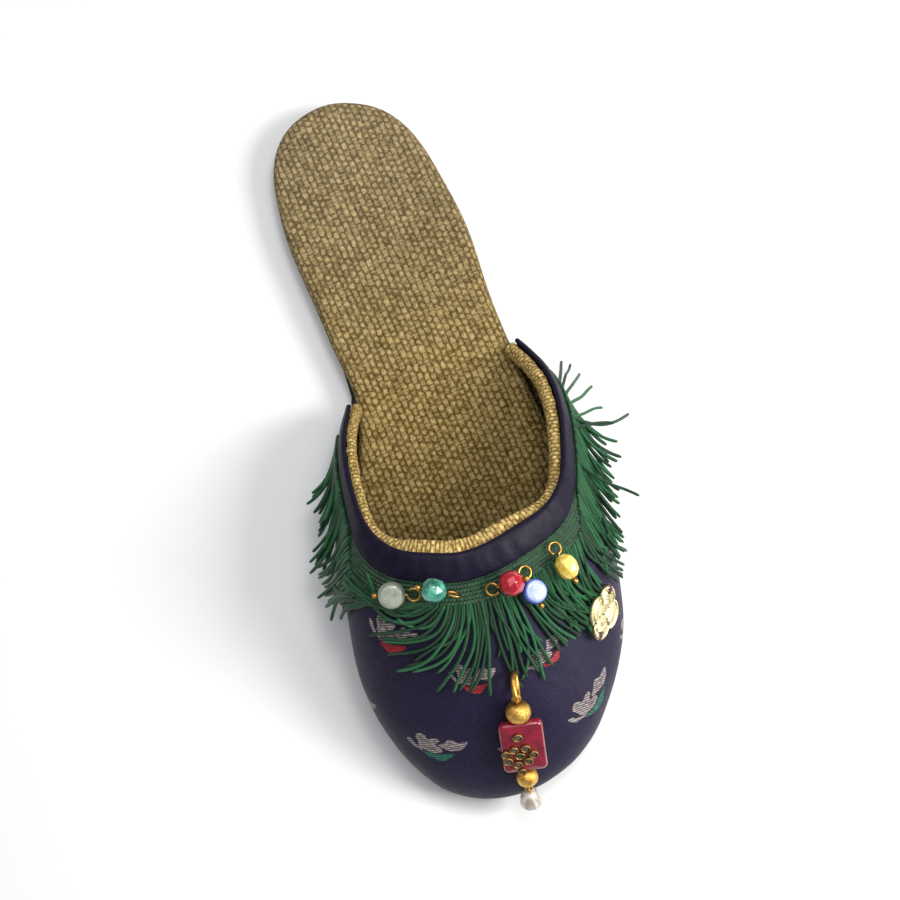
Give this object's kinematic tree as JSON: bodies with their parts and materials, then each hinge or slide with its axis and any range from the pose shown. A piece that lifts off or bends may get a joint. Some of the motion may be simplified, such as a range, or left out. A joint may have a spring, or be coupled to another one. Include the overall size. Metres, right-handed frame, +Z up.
{
  "type": "slipper",
  "caption": "Backless babouche slipper for the left foot: closed brocade vamp, satin collar binding, green cord fringe, sewn-on beads and a tile pendant, burlap insole, flat sole.",
  "frame": {"origin": "on the outsole's underside, the plane it stands on, mid-way along the shoe and on the line from the heel's middle to the toe's", "axes": "+Z up, +Y towards the heel, +X towards the lateral (outer) side of the left foot"},
  "size_m": [0.1054, 0.2687, 0.0653],
  "materials": {
    "sole_rubber": "matt",
    "burlap": "coarse slubby weave",
    "brocade": "satin weave with small woven motifs",
    "satin": "soft sheen",
    "cord": "twisted viscose cord, soft sheen",
    "pale_gold": "satin, pale gold plating",
    "gold_wire": "polished gold plating",
    "gold_bead": "frosted gold plating",
    "setting_brass": "aged",
    "tile_glass": "glossy, opaque",
    "pearl": "pearly coating",
    "bead_grey_glass": "glossy",
    "bead_teal_glass": "glossy, facetted",
    "bead_red_glass": "glossy, facetted",
    "bead_blue_glass": "glossy",
    "bead_yellow_glass": "glossy, pearly"
  },
  "bodies": {
    "shoe": {"outsole": "sole_rubber", "insole": "burlap", "upper": "brocade", "collar_binding": "satin", "fringe": "cord", "gold_flower_charm": "pale_gold", "pendant_bail": "gold_wire"},
    "grey_charm": {"bead_grey": "bead_grey_glass", "headpin_grey": "gold_wire"},
    "teal_charm": {"bead_teal": "bead_teal_glass", "headpin_teal": "gold_wire"},
    "red_charm": {"bead_red": "bead_red_glass", "headpin_red": "gold_wire"},
    "blue_charm": {"bead_blue": "bead_blue_glass", "headpin_blue": "gold_wire"},
    "yellow_charm": {"bead_yellow": "bead_yellow_glass", "headpin_yellow": "gold_wire"},
    "pendant": {"pendant_pin": "gold_wire", "pendant_bead_upper": "gold_bead", "pendant_tile": "tile_glass", "tile_setting_flower": "setting_brass", "tile_setting_upper": "setting_brass", "tile_setting_lower": "setting_brass", "pendant_bead_lower": "gold_bead"},
    "pearl": {"pearl_pin": "gold_wire", "pearl_drop": "pearl"}
  },
  "joints": [
    {"name": "grey_charm_swing", "type": "hinge", "parent": "shoe", "child": "grey_charm", "pos_m": [-0.00911, -0.05974, 0.05548], "axis": [0.1649, 0.909, 0.3828], "range_deg": [0, 45]},
    {"name": "teal_charm_swing", "type": "hinge", "parent": "shoe", "child": "teal_charm", "pos_m": [0.00356, -0.06327, 0.05855], "axis": [0.4551, 0.8182, 0.3513], "range_deg": [0, 60]},
    {"name": "red_charm_swing", "type": "hinge", "parent": "shoe", "child": "red_charm", "pos_m": [0.0122, -0.0636, 0.05571], "axis": [0.1616, -0.9107, -0.3802], "range_deg": [0, 60]},
    {"name": "blue_charm_swing", "type": "hinge", "parent": "shoe", "child": "blue_charm", "pos_m": [0.0254, -0.05834, 0.05409], "axis": [-0.9235, -0.279, 0.2633], "range_deg": [0, 30]},
    {"name": "yellow_charm_swing", "type": "hinge", "parent": "shoe", "child": "yellow_charm", "pos_m": [0.03674, -0.05252, 0.05059], "axis": [-0.8709, -0.3264, 0.3673], "range_deg": [0, 60]},
    {"name": "pendant_swing", "type": "hinge", "parent": "shoe", "child": "pendant", "pos_m": [0.01386, -0.09934, 0.0436], "axis": [-0.9957, 0.0928, -0.0079], "range_deg": [0, 28]},
    {"name": "pearl_swing", "type": "hinge", "parent": "pendant", "child": "pearl", "pos_m": [0.01119, -0.12983, 0.0215], "axis": [-0.9957, 0.0928, -0.0079], "range_deg": [0, 55]}
  ]
}
